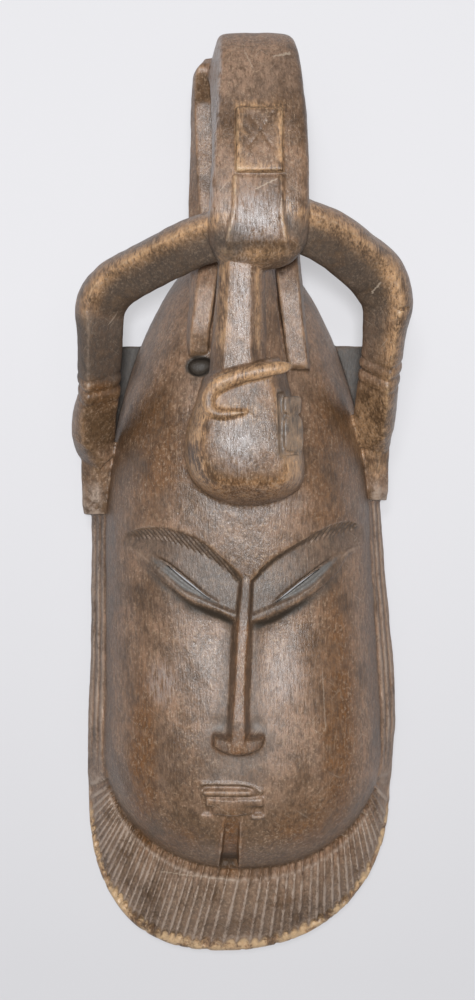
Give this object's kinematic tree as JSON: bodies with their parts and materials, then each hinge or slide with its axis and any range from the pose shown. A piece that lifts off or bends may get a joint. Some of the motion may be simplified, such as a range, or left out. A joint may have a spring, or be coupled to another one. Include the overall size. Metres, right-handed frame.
{
  "type": "carved wooden face mask",
  "caption": "Long hollow wooden face mask with slit eyes, a grooved beard collar and a bent-over figure arching over its forehead as a crest.",
  "frame": {"origin": "middle of the outline, on the surface that the back rim lies on", "axes": "+Z out of the face, +Y towards the crest, +X to the right as seen from the front"},
  "size_m": [0.1809, 0.4927, 0.1513],
  "materials": {
    "carved_wood": "dark stained hardwood, hand carved, waxed to a satin sheen and worn to tan on its edges"
  },
  "bodies": {
    "root": {"mask": "carved_wood"}
  },
  "joints": []
}
